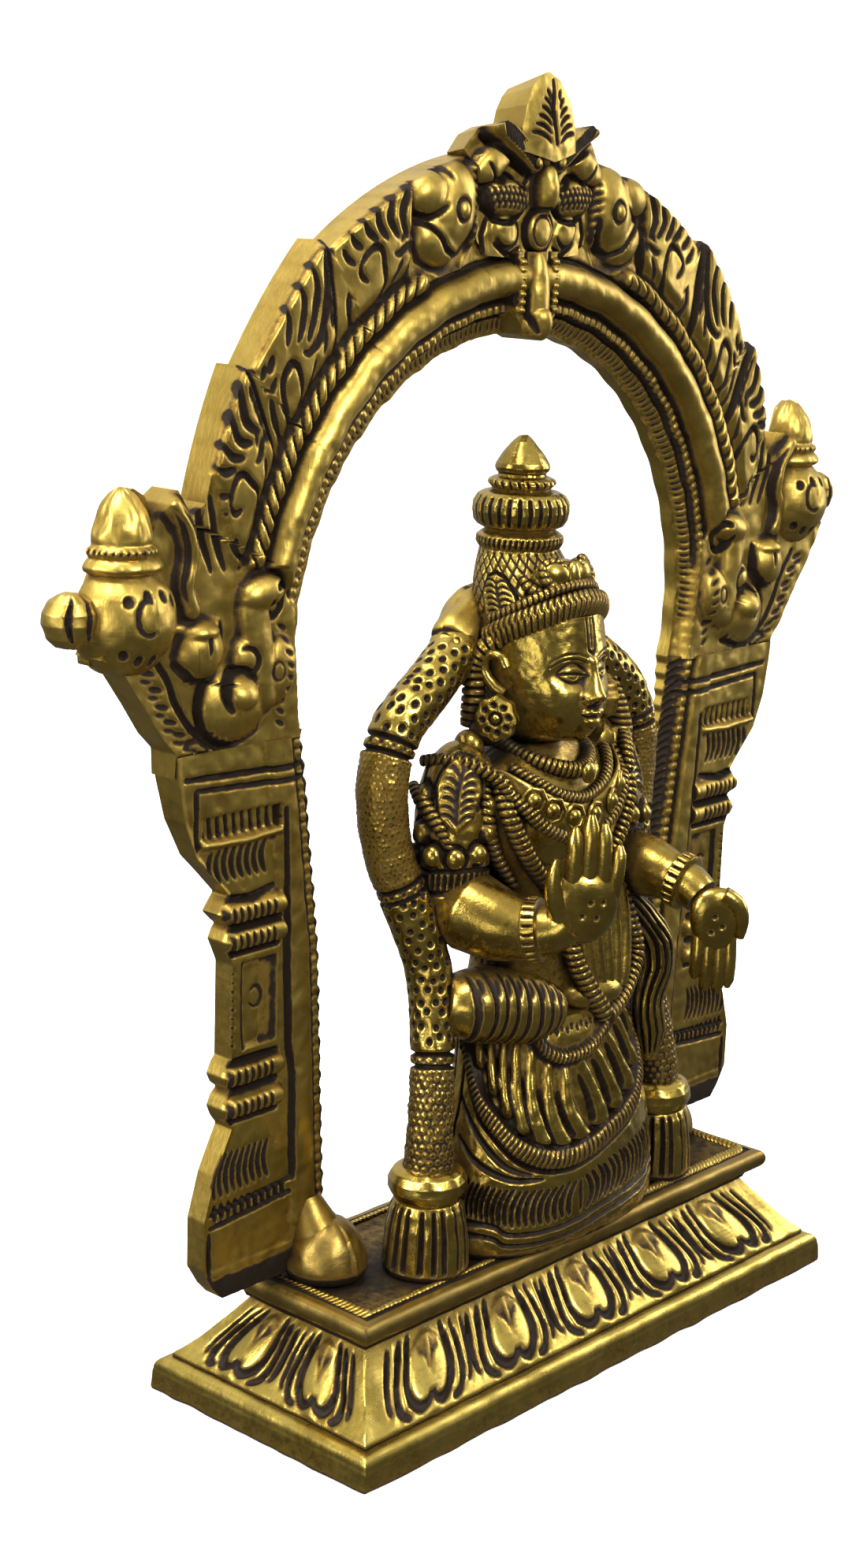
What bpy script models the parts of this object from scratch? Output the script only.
"""Brass shrine figure under a lift-off arch, on a lotus pedestal.

Sizes are in millimetres and are turned into metres where a mesh is made.
The figure faces -Y, +Z is up, and the origin is the middle of the underside.
"""
import math

import bmesh
import bpy
from mathutils import Matrix, Vector

MM = 0.001
GAP = 0.3                 # clearance between neighbouring pieces

# Pedestal
BASE_WIDTH = 127.0
BASE_DEPTH = 50.4
SLAB_HEIGHT = 6.2
BAND_TOP = 17.0
PLATE_TOP = 23.1
PLATE_WIDTH = 110.5
PLATE_DEPTH = 34.0
NECK_INSET = 2.4          # the cove under the top plate's edge

# Arch
ARCH_FRONT = 4.6
ARCH_BACK = 10.6
RING_OUTER = 75.6
RING_OUTER_Z = 131.8      # height of the outer circle's centre
RING_INNER = 49.8
RING_INNER_Z = 127.2      # height of the inner circle's centre
RING_FOOT_Z = 115.6
PILLAR_TOP = 115.3
PILLAR_FOOT = 27.0
APEX = 219.0
PENDANT_TIP = 176.3
KALASHA_X = 83.2
KALASHA_TOP = 159.5
KALASHA_LIFT = 2.6        # the right-hand one stands this much higher, the left-hand one lower
BALL_X = 93.0
BALL_RADIUS = 4.4

# Arch feet and their pegs
FOOT_X = 45.2
FOOT_Y = 2.2
FOOT_RADIUS = 6.2
PEG_RADIUS = 2.0
PEG_LENGTH = 5.4
SOCKET_RADIUS = 2.4

# Figure
SKIRT_TOP = 62.7
SHOULDER_TOP = 108.0
CHIN = 110.0
BROW = 131.0
CROWN_AXIS_Y = 4.5
CROWN_RINGS_BASE = 141.0
CONE_BASE = 153.6
CROWN_TIP = 160.1
GARLAND_RADIUS = 4.4
GARLAND_LOW_RADIUS = 3.7
KNOT_X = 31.2
KNOT_Y = -7.4
KNOT_Z = 38.6
KNOT_RADIUS = 6.2
TASSEL_RADIUS = 6.9

POLISHED = (0.56, 0.42, 0.13, 1.0)
SATIN = (0.43, 0.33, 0.11, 1.0)


def clear_scene():
    for obj in list(bpy.data.objects):
        bpy.data.objects.remove(obj, do_unlink=True)


def collection(name):
    group = bpy.data.collections.new(name)
    bpy.context.scene.collection.children.link(group)
    return group


def brass(name, colour, roughness):
    material = bpy.data.materials.new(name)
    material.use_nodes = True
    shader = material.node_tree.nodes["Principled BSDF"]
    shader.inputs["Base Color"].default_value = colour
    shader.inputs["Metallic"].default_value = 1.0
    shader.inputs["Roughness"].default_value = roughness
    material.diffuse_color = colour
    return material


def add_piece(name, mesh, colour=POLISHED, roughness=0.28):
    """Link a mesh into the statue as one named piece with its own material."""
    obj = bpy.data.objects.new(name, mesh)
    STATUE.objects.link(obj)
    mesh.materials.clear()
    mesh.materials.append(brass(name + "_brass", colour, roughness))
    mesh.shade_smooth()
    mesh.set_sharp_from_angle(angle=math.radians(35.0))
    return obj


def loft(name, rings, sides=28, power=2.0, **look):
    """A closed skin through level rings, each (z, centre x, centre y, radius x, radius y)."""
    bm = bmesh.new()
    loops = []
    for z, cx, cy, rx, ry in rings:
        loop = []
        for i in range(sides):
            turn = 2.0 * math.pi * i / sides
            c = math.cos(turn)
            s = math.sin(turn)
            x = cx + rx * math.copysign(abs(c) ** (2.0 / power), c)
            y = cy + ry * math.copysign(abs(s) ** (2.0 / power), s)
            loop.append(bm.verts.new(Vector((x, y, z)) * MM))
        loops.append(loop)
    for low, high in zip(loops, loops[1:]):
        for i in range(sides):
            j = (i + 1) % sides
            bm.faces.new((low[i], low[j], high[j], high[i]))
    bm.faces.new(list(reversed(loops[0])))
    bm.faces.new(loops[-1])
    mesh = bpy.data.meshes.new(name)
    bm.to_mesh(mesh)
    bm.free()
    return add_piece(name, mesh, **look)


def turned(name, profile, centre, steps=24, **look):
    """A turned piece: (radius, z) points from its top to its foot, about a vertical axis."""
    mesh = bpy.data.meshes.new(name)
    verts = [(r * MM, 0.0, z * MM) for r, z in profile]
    edges = [(i, i + 1) for i in range(len(profile) - 1)]
    mesh.from_pydata(verts, edges, [])
    obj = add_piece(name, mesh, **look)
    screw = obj.modifiers.new("Turn", "SCREW")
    screw.axis = "Z"
    screw.steps = steps
    screw.render_steps = steps
    screw.use_merge_vertices = True
    screw.merge_threshold = 0.000001
    return settle(obj, Matrix.Translation(Vector((centre[0], centre[1], 0.0)) * MM))


def settle(obj, move=None):
    """Replace an object's mesh with what its modifiers make of it."""
    bpy.context.view_layer.update()
    graph = bpy.context.evaluated_depsgraph_get()
    mesh = bpy.data.meshes.new_from_object(obj.evaluated_get(graph))
    obj.modifiers.clear()
    if move is not None:
        mesh.transform(move)
    old = obj.data
    obj.data = mesh
    bpy.data.meshes.remove(old)
    return obj


def tube(name, points, radius, sides=2, order=3, **look):
    """A rod along (x, y, z, relative thickness) points, with closed ends."""
    curve = bpy.data.curves.new(name, "CURVE")
    curve.dimensions = "3D"
    curve.bevel_depth = radius * MM
    curve.bevel_resolution = sides
    curve.use_fill_caps = True
    curve.resolution_u = order
    spline = curve.splines.new("BEZIER")
    spline.bezier_points.add(len(points) - 1)
    for knot, (x, y, z, thick) in zip(spline.bezier_points, points):
        knot.co = Vector((x, y, z)) * MM
        knot.radius = thick
        knot.handle_left_type = "AUTO"
        knot.handle_right_type = "AUTO"
    return mesh_from_curve(name, curve, Matrix.Identity(4), **look)


def plate(name, outline, front=ARCH_FRONT, back=ARCH_BACK, **look):
    """A flat casting standing in the XZ plane between two depths."""
    curve = bpy.data.curves.new(name, "CURVE")
    curve.dimensions = "2D"
    curve.fill_mode = "BOTH"
    curve.extrude = 0.5 * (back - front) * MM
    spline = curve.splines.new("POLY")
    spline.points.add(len(outline) - 1)
    for knot, (x, z) in zip(spline.points, outline):
        knot.co = (x * MM, z * MM, 0.0, 1.0)
    spline.use_cyclic_u = True
    stand = Matrix.Rotation(math.radians(90.0), 4, "X")
    stand.translation = Vector((0.0, 0.5 * (front + back) * MM, 0.0))
    return mesh_from_curve(name, curve, stand, **look)


def mesh_from_curve(name, curve, move, **look):
    guide = bpy.data.objects.new(name + "_guide", curve)
    STATUE.objects.link(guide)
    bpy.context.view_layer.update()
    graph = bpy.context.evaluated_depsgraph_get()
    mesh = bpy.data.meshes.new_from_object(guide.evaluated_get(graph))
    bpy.data.objects.remove(guide, do_unlink=True)
    bpy.data.curves.remove(curve)
    mesh.transform(move)
    bm = bmesh.new()
    bm.from_mesh(mesh)
    bmesh.ops.remove_doubles(bm, verts=bm.verts, dist=0.000002)
    bmesh.ops.recalc_face_normals(bm, faces=bm.faces)
    bm.to_mesh(mesh)
    bm.free()
    return add_piece(name, mesh, **look)


def ball(name, centre, radii, tilt=None, sides=20, **look):
    bm = bmesh.new()
    bmesh.ops.create_uvsphere(bm, u_segments=sides, v_segments=sides // 2, radius=MM)
    stretch = Matrix.Diagonal(Vector((radii[0], radii[1], radii[2], 1.0)))
    turn = tilt if tilt is not None else Matrix.Identity(4)
    place = Matrix.Translation(Vector(centre) * MM)
    bmesh.ops.transform(bm, matrix=place @ turn @ stretch, verts=bm.verts)
    mesh = bpy.data.meshes.new(name)
    bm.to_mesh(mesh)
    bm.free()
    return add_piece(name, mesh, **look)


def slab(name, width, depth, low, high, round_edge, segments=3, **look):
    bm = bmesh.new()
    bmesh.ops.create_cube(bm, size=MM)
    shape = Matrix.Diagonal(Vector((width, depth, high - low, 1.0)))
    place = Matrix.Translation(Vector((0.0, 0.0, 0.5 * (low + high))) * MM)
    bmesh.ops.transform(bm, matrix=place @ shape, verts=bm.verts)
    mesh = bpy.data.meshes.new(name)
    bm.to_mesh(mesh)
    bm.free()
    obj = add_piece(name, mesh, **look)
    edge = obj.modifiers.new("Round", "BEVEL")
    edge.width = round_edge * MM
    edge.segments = segments
    edge.limit_method = "ANGLE"
    return settle(obj)


def grown(obj, by=GAP):
    """A cutter: the piece again, swollen by the clearance."""
    mesh = obj.data.copy()
    normals = [Vector(v.normal) for v in mesh.vertices]
    for vertex, normal in zip(mesh.vertices, normals):
        vertex.co = vertex.co + normal * (by * 1.25 * MM)
    cutter = bpy.data.objects.new(obj.name + "_cutter", mesh)
    CUTTERS.objects.link(cutter)
    cutter.hide_render = True
    cutter.display_type = "WIRE"
    return cutter


def carve(obj, neighbours):
    """Cut a piece back from its neighbours, leaving the clearance between them."""
    for neighbour in neighbours:
        cutter = grown(neighbour)
        cut = obj.modifiers.new("Clear_" + neighbour.name, "BOOLEAN")
        cut.operation = "DIFFERENCE"
        cut.solver = "EXACT"
        cut.object = cutter
    return settle(obj)


def cylinder_cut(obj, centre, radius, low, high):
    bm = bmesh.new()
    depth = (high - low) * MM
    bmesh.ops.create_cone(bm, cap_ends=True, segments=24, radius1=radius * MM,
                          radius2=radius * MM, depth=depth)
    mesh = bpy.data.meshes.new(obj.name + "_socket")
    bm.to_mesh(mesh)
    bm.free()
    cutter = bpy.data.objects.new(obj.name + "_socket", mesh)
    CUTTERS.objects.link(cutter)
    cutter.location = Vector((centre[0], centre[1], 0.5 * (low + high))) * MM
    cutter.hide_render = True
    cutter.display_type = "WIRE"
    cut = obj.modifiers.new("Socket", "BOOLEAN")
    cut.operation = "DIFFERENCE"
    cut.solver = "EXACT"
    cut.object = cutter


def rect_ring(z, width, depth):
    """The four corners of a level rectangle, anticlockwise from above."""
    w = 0.5 * width
    d = 0.5 * depth
    return [(w, -d, z), (w, d, z), (-w, d, z), (-w, -d, z)]


def frustum(name, levels, **look):
    """A four-sided skin through level rectangles, each (z, width, depth)."""
    bm = bmesh.new()
    loops = [[bm.verts.new(Vector(p) * MM) for p in rect_ring(*level)] for level in levels]
    for low, high in zip(loops, loops[1:]):
        for i in range(4):
            j = (i + 1) % 4
            bm.faces.new((low[i], low[j], high[j], high[i]))
    bm.faces.new(list(reversed(loops[0])))
    bm.faces.new(loops[-1])
    mesh = bpy.data.meshes.new(name)
    bm.to_mesh(mesh)
    bm.free()
    return add_piece(name, mesh, **look)


def make_pedestal():
    slab("pedestal_slab", BASE_WIDTH, BASE_DEPTH, 0.0, SLAB_HEIGHT, 0.8)
    # The band's slope bows outwards a little between its foot and its neck.
    foot_z = SLAB_HEIGHT + GAP
    levels = []
    for i in range(6):
        rise = i / 5.0
        inset = 2.6 + 9.4 * rise ** 1.25
        z = foot_z + rise * (BAND_TOP - foot_z)
        levels.append((z, BASE_WIDTH - 2.0 * inset, BASE_DEPTH - 2.0 * inset))
    frustum("lotus_band", levels)
    low = BAND_TOP + GAP
    edge = PLATE_TOP - 3.6
    top = frustum("pedestal_top", [
        (low, PLATE_WIDTH - 2.0 * NECK_INSET, PLATE_DEPTH - 2.0 * NECK_INSET),
        (edge - 0.6, PLATE_WIDTH - 2.0 * NECK_INSET, PLATE_DEPTH - 2.0 * NECK_INSET),
        (edge, PLATE_WIDTH - 0.8, PLATE_DEPTH - 0.8),
        (edge + 1.2, PLATE_WIDTH, PLATE_DEPTH),
        (PLATE_TOP - 0.8, PLATE_WIDTH, PLATE_DEPTH),
        (PLATE_TOP, PLATE_WIDTH - 1.4, PLATE_DEPTH - 1.4),
    ], colour=SATIN, roughness=0.4)
    for side in (-1.0, 1.0):
        centre = (side * FOOT_X, FOOT_Y)
        cylinder_cut(top, centre, SOCKET_RADIUS, low - 1.0, PLATE_TOP + 1.0)
    settle(top)


def ring_outline():
    """The arch ring: outer arc, foot, straight inner leg, inner arc, and back."""
    points = []
    low = math.asin((RING_FOOT_Z - RING_OUTER_Z) / RING_OUTER)
    count = 44
    for i in range(count + 1):
        turn = low + (math.pi - 2.0 * low) * i / count
        points.append((RING_OUTER * math.cos(turn), RING_OUTER_Z + RING_OUTER * math.sin(turn)))
    leg = inner_edge(RING_FOOT_Z)
    points.append((-leg, RING_FOOT_Z))
    for i in range(33):
        turn = math.pi - math.pi * i / 32.0
        points.append((RING_INNER * math.cos(turn), RING_INNER_Z + RING_INNER * math.sin(turn)))
    points.append((leg, RING_FOOT_Z))
    return points


def inner_edge(z):
    """Half the opening's width below the spring of the arch."""
    if z > 106.0:
        return 47.0 + (z - 106.0) * (RING_INNER - 47.0) / (RING_INNER_Z - 106.0)
    if z > 79.0:
        return 43.5 + (z - 79.0) * 3.5 / 27.0
    return 41.0 + (z - 37.0) * 2.5 / 42.0


PILLAR_OUTER = [                       # half-width and height, from the foot up
    (67.4, PILLAR_FOOT), (70.8, 30.6), (70.8, 39.0), (68.6, 46.4), (64.2, 55.6),
    (66.4, 57.0), (64.6, 59.6), (66.6, 62.4), (64.4, 65.4), (64.4, 81.0),
    (66.6, 84.6), (65.6, 87.0), (67.6, 89.4), (66.4, 92.0), (73.0, 99.4),
    (75.8, 105.6), (77.0, 112.4), (77.4, PILLAR_TOP),
]


def mirrored(outline, side):
    points = [(side * x, z) for x, z in outline]
    return points if side > 0 else list(reversed(points))


def make_arch():
    ring = plate("arch_ring", ring_outline(), colour=SATIN, roughness=0.36)
    for side, word in ((-1.0, "left"), (1.0, "right")):
        inner = [(inner_edge(z), z) for z in (PILLAR_TOP, 106.0, 79.0, 37.0, PILLAR_FOOT)]
        pillar = plate("arch_pillar_" + word, mirrored(PILLAR_OUTER + inner, side),
                       colour=SATIN, roughness=0.36)
        lift = side * KALASHA_LIFT
        bracket = [
            (72.0, 115.8), (77.4, 115.8), (79.4, 122.6), (85.0, 130.8 + lift), (88.6, 135.2 + lift),
            (78.0, 137.2 + lift), (77.0, 148.6 + lift), (68.0, 156.0), (64.0, 140.0),
        ]
        arm = plate("arch_bracket_" + word, mirrored(bracket, side), colour=SATIN, roughness=0.36)
        carve(arm, [ring])
        middle = (side * KALASHA_X, 0.5 * (ARCH_FRONT + ARCH_BACK))
        tip = KALASHA_TOP + side * KALASHA_LIFT
        pot = turned("kalasha_" + word, [
            (0.0, tip), (1.6, tip - 0.6), (3.9, tip - 6.1), (4.2, tip - 7.3), (3.2, tip - 8.1),
            (4.7, tip - 8.9), (4.7, tip - 10.1), (3.6, tip - 10.9), (6.2, tip - 14.0),
            (6.4, tip - 17.0), (5.0, tip - 21.4), (2.4, tip - 23.6), (0.0, tip - 24.0),
        ], middle, steps=20)
        carve(arm, [pot])
        lobe = ball("kalasha_ball_" + word, (side * BALL_X, middle[1], tip - 15.6),
                    (BALL_RADIUS, BALL_RADIUS * 0.8, BALL_RADIUS))
        carve(lobe, [pot])
        carve(arm, [lobe])
        foot = turned("arch_foot_" + word, [
            (0.0, 35.0), (2.8, 34.6), (5.0, 32.4), (FOOT_RADIUS, 29.6), (FOOT_RADIUS, 27.0),
            (4.6, PLATE_TOP + GAP), (PEG_RADIUS, PLATE_TOP + GAP),
            (PEG_RADIUS, PLATE_TOP + GAP - PEG_LENGTH + 0.5),
            (PEG_RADIUS - 0.5, PLATE_TOP + GAP - PEG_LENGTH),
            (0.0, PLATE_TOP + GAP - PEG_LENGTH),
        ], (side * FOOT_X, FOOT_Y), colour=SATIN, roughness=0.36)
        carve(foot, [pillar])
    make_crest(ring)


def make_crest(ring):
    mask = [
        (0.0, 188.6), (8.0, 189.6), (15.6, 192.4), (18.4, 197.0), (16.0, 202.6),
        (12.6, 206.8), (6.0, 207.6), (0.0, 207.8),
    ]
    whole = mask + [(-x, z) for x, z in reversed(mask[1:-1])]
    plate("crest_mask", whole, front=0.6, back=ARCH_FRONT - GAP)
    finial = [(0.0, APEX), (3.2, 217.0), (5.6, 212.6), (6.2, 208.8), (5.0, 204.0), (0.0, 203.0)]
    bud = finial + [(-x, z) for x, z in reversed(finial[1:-1])]
    carve(plate("crest_finial", bud, front=3.0, back=ARCH_BACK), [ring, bpy.data.objects["crest_mask"]])
    drop = [(0.0, PENDANT_TIP), (2.6, 179.6), (4.2, 184.6), (3.4, 188.3), (0.0, 188.3)]
    whole = drop + [(-x, z) for x, z in reversed(drop[1:-1])]
    plate("crest_pendant", whole, front=1.0, back=ARCH_FRONT - GAP)


def make_garlands():
    pieces = {}
    for side, word in ((-1.0, "left"), (1.0, "right")):
        low = GARLAND_LOW_RADIUS / GARLAND_RADIUS
        route = [
            (14.0, 5.2, 124.6, 0.9), (22.4, 4.6, 119.4, 1.0), (29.8, 4.2, 113.6, 1.0),
            (33.4, 3.6, 104.6, 1.0), (32.4, 2.8, 94.0, 1.0), (29.4, 0.8, 84.4, 0.95),
            (26.8, -2.0, 73.4, 0.9), (28.4, -5.0, 61.0, low), (30.6, -7.0, 48.4, low),
            (KNOT_X, KNOT_Y, 41.6, low),
        ]
        pieces["garland_" + word] = tube(
            "garland_" + word, [(side * x, y, z, t) for x, y, z, t in route], GARLAND_RADIUS)
        knot = turned("garland_knot_" + word, [
            (0.0, 41.2), (3.6, 41.2), (5.6, 40.4), (KNOT_RADIUS, KNOT_Z), (5.6, 37.0),
            (3.8, 36.4), (0.0, 36.4),
        ], (side * KNOT_X, KNOT_Y))
        pieces["knot_" + word] = knot
        pieces["tassel_" + word] = turned("tassel_" + word, [
            (0.0, 36.1), (4.4, 36.1), (5.6, 34.0), (TASSEL_RADIUS, PLATE_TOP + 3.0),
            (TASSEL_RADIUS, PLATE_TOP + GAP), (0.0, PLATE_TOP + GAP),
        ], (side * KNOT_X, KNOT_Y))
    pieces["shawl"] = tube("shawl", [
        (-13.0, 6.6, 126.0, 0.85), (-7.0, 9.6, 129.4, 1.0), (0.0, 10.6, 130.4, 1.0),
        (7.0, 9.6, 129.4, 1.0), (13.0, 6.6, 126.0, 0.85),
    ], 4.0, colour=SATIN, roughness=0.36)
    return pieces


def make_body():
    skirt = loft("skirt", [
        (PLATE_TOP + GAP, 0.0, -7.0, 25.4, 11.9), (27.0, 0.0, -7.2, 25.6, 12.5),
        (36.0, 0.0, -7.2, 24.4, 12.6), (46.0, 0.0, -6.6, 22.0, 12.0),
        (54.0, 0.0, -5.8, 19.6, 11.2), (SKIRT_TOP, 0.0, -4.8, 17.2, 10.0),
    ], power=2.2)
    torso = loft("torso", [
        (SKIRT_TOP + GAP, 0.0, -3.4, 16.4, 9.2), (68.0, 0.0, -3.0, 14.6, 8.6),
        (76.0, 0.0, -2.4, 13.0, 8.2), (86.0, 0.0, -2.0, 14.8, 8.8),
        (96.0, 0.0, -1.8, 18.0, 10.2), (102.0, 0.0, -1.4, 19.4, 9.4),
        (106.0, 0.0, -0.6, 16.8, 7.8), (SHOULDER_TOP, 0.0, -0.4, 9.0, 6.2),
    ])
    neck = SHOULDER_TOP + GAP
    head = loft("head", [
        (neck, 0.0, -0.4, 5.6, 5.4), (CHIN + 0.4, 0.0, -1.2, 5.8, 6.2),
        (CHIN + 1.6, 0.0, -2.2, 7.0, 8.0), (115.0, 0.0, -1.8, 9.4, 10.0),
        (120.0, 0.0, -1.4, 10.8, 11.2), (126.0, 0.0, -1.0, 11.2, 11.6),
        (BROW, 0.0, -0.6, 10.8, 11.4),
    ])
    return skirt, torso, head


def make_crown():
    low = BROW + GAP
    crown = loft("crown", [
        (low, 0.0, -0.4, 11.2, 12.0), (low + 2.4, 0.0, 0.4, 10.8, 11.6),
        (135.0, 0.0, 1.8, 9.0, 9.6), (138.4, 0.0, 3.4, 7.6, 8.0),
        (CROWN_RINGS_BASE - 0.4, 0.0, CROWN_AXIS_Y, 6.6, 6.6),
    ])
    rings = turned("crown_rings", [
        (0.0, CONE_BASE - GAP), (4.4, CONE_BASE - GAP), (5.8, 152.6), (5.4, 151.4),
        (6.8, 150.8), (8.0, 149.0), (8.0, 146.6), (6.8, 144.9), (5.8, 144.5), (7.1, 143.4),
        (7.1, 142.2), (6.0, CROWN_RINGS_BASE), (0.0, CROWN_RINGS_BASE),
    ], (0.0, CROWN_AXIS_Y))
    cone = turned("crown_cone", [
        (0.0, CROWN_TIP), (1.0, CROWN_TIP - 0.3), (2.2, 158.0), (4.4, 154.9), (4.6, 154.2),
        (4.0, CONE_BASE), (0.0, CONE_BASE),
    ], (0.0, CROWN_AXIS_Y))
    crest = ball("crown_crest", (0.0, -8.4, 137.2), (5.6, 4.0, 4.4), sides=16)
    carve(crest, [crown])
    return crown, rings, cone, crest


def make_arms(torso, garlands):
    """Upper arms, forearms and hands; the left word is the side at -X."""
    arms = {}
    for side, word in ((-1.0, "left"), (1.0, "right")):
        upper = tube("upper_arm_" + word, [
            (side * 17.6, 0.6, 106.0, 0.8), (side * 20.4, 0.4, 101.0, 1.0),
            (side * 20.8, -1.0, 92.0, 0.96), (side * 20.8, -2.6, 84.0, 0.8),
        ], 5.8)
        carve(upper, [torso, garlands["garland_" + word]])
        arms["upper_" + word] = upper
    raised = tube("forearm_left", [
        (-21.0, -4.0, 83.0, 1.0), (-19.0, -11.0, 80.2, 0.96), (-14.4, -20.6, 80.4, 0.8)], 4.6)
    carve(raised, [arms["upper_left"], torso, garlands["garland_left"]])
    lowered = tube("forearm_right", [
        (20.8, -4.0, 83.4, 1.0), (21.6, -12.0, 83.0, 0.92), (22.0, -19.4, 82.0, 0.8)], 4.6)
    carve(lowered, [arms["upper_right"], torso, garlands["garland_right"]])
    lean = Matrix.Rotation(math.radians(-8.0), 4, "X")
    palm = ball("hand_raised", (-12.4, -23.2, 90.6), (6.0, 2.6, 11.6), lean)
    carve(palm, [raised])
    drop = Matrix.Rotation(math.radians(-24.0), 4, "X")
    hand = ball("hand_lowered", (22.2, -24.4, 74.4), (5.2, 3.0, 10.4), drop)
    carve(hand, [lowered])
    arms["raised"] = raised
    arms["lowered"] = lowered
    arms["palm"] = palm
    arms["hand"] = hand
    return arms


def make_dress(skirt, torso, arms, garlands):
    roll = tube("folded_leg", [
        (-24.4, -5.4, 67.8, 0.86), (-18.4, -8.6, 66.8, 1.0), (-12.0, -11.4, 65.4, 1.0),
        (-7.4, -13.0, 64.4, 0.8)], 6.2)
    carve(roll, [skirt, torso, garlands["garland_left"], arms["raised"]])
    drape = tube("side_drape", [
        (20.4, -6.8, 77.6, 0.8), (22.6, -9.0, 68.0, 1.0), (23.8, -10.6, 58.0, 1.0),
        (24.8, -11.6, 48.0, 0.7)], 3.4)
    carve(drape, [skirt, torso, garlands["garland_right"], garlands["knot_right"], arms["lowered"],
                  arms["hand"]])


def make_earrings(head):
    for side, word in ((-1.0, "left"), (1.0, "right")):
        facing = Matrix.Rotation(math.radians(side * 12.0), 4, "Z")
        disc = ball("earring_" + word, (side * 13.6, -3.6, 115.4), (1.9, 3.7, 3.7), facing, sides=16)
        carve(disc, [head])


clear_scene()
STATUE = collection("shrine_figure")
CUTTERS = collection("cutters")
make_pedestal()
make_arch()
garland_set = make_garlands()
skirt_piece, torso_piece, head_piece = make_body()
carve(skirt_piece, [garland_set["tassel_left"], garland_set["tassel_right"]])
crown_pieces = make_crown()
carve(garland_set["shawl"], [head_piece, crown_pieces[0], garland_set["garland_left"],
                             garland_set["garland_right"]])
arm_set = make_arms(torso_piece, garland_set)
make_dress(skirt_piece, torso_piece, arm_set, garland_set)
make_earrings(head_piece)
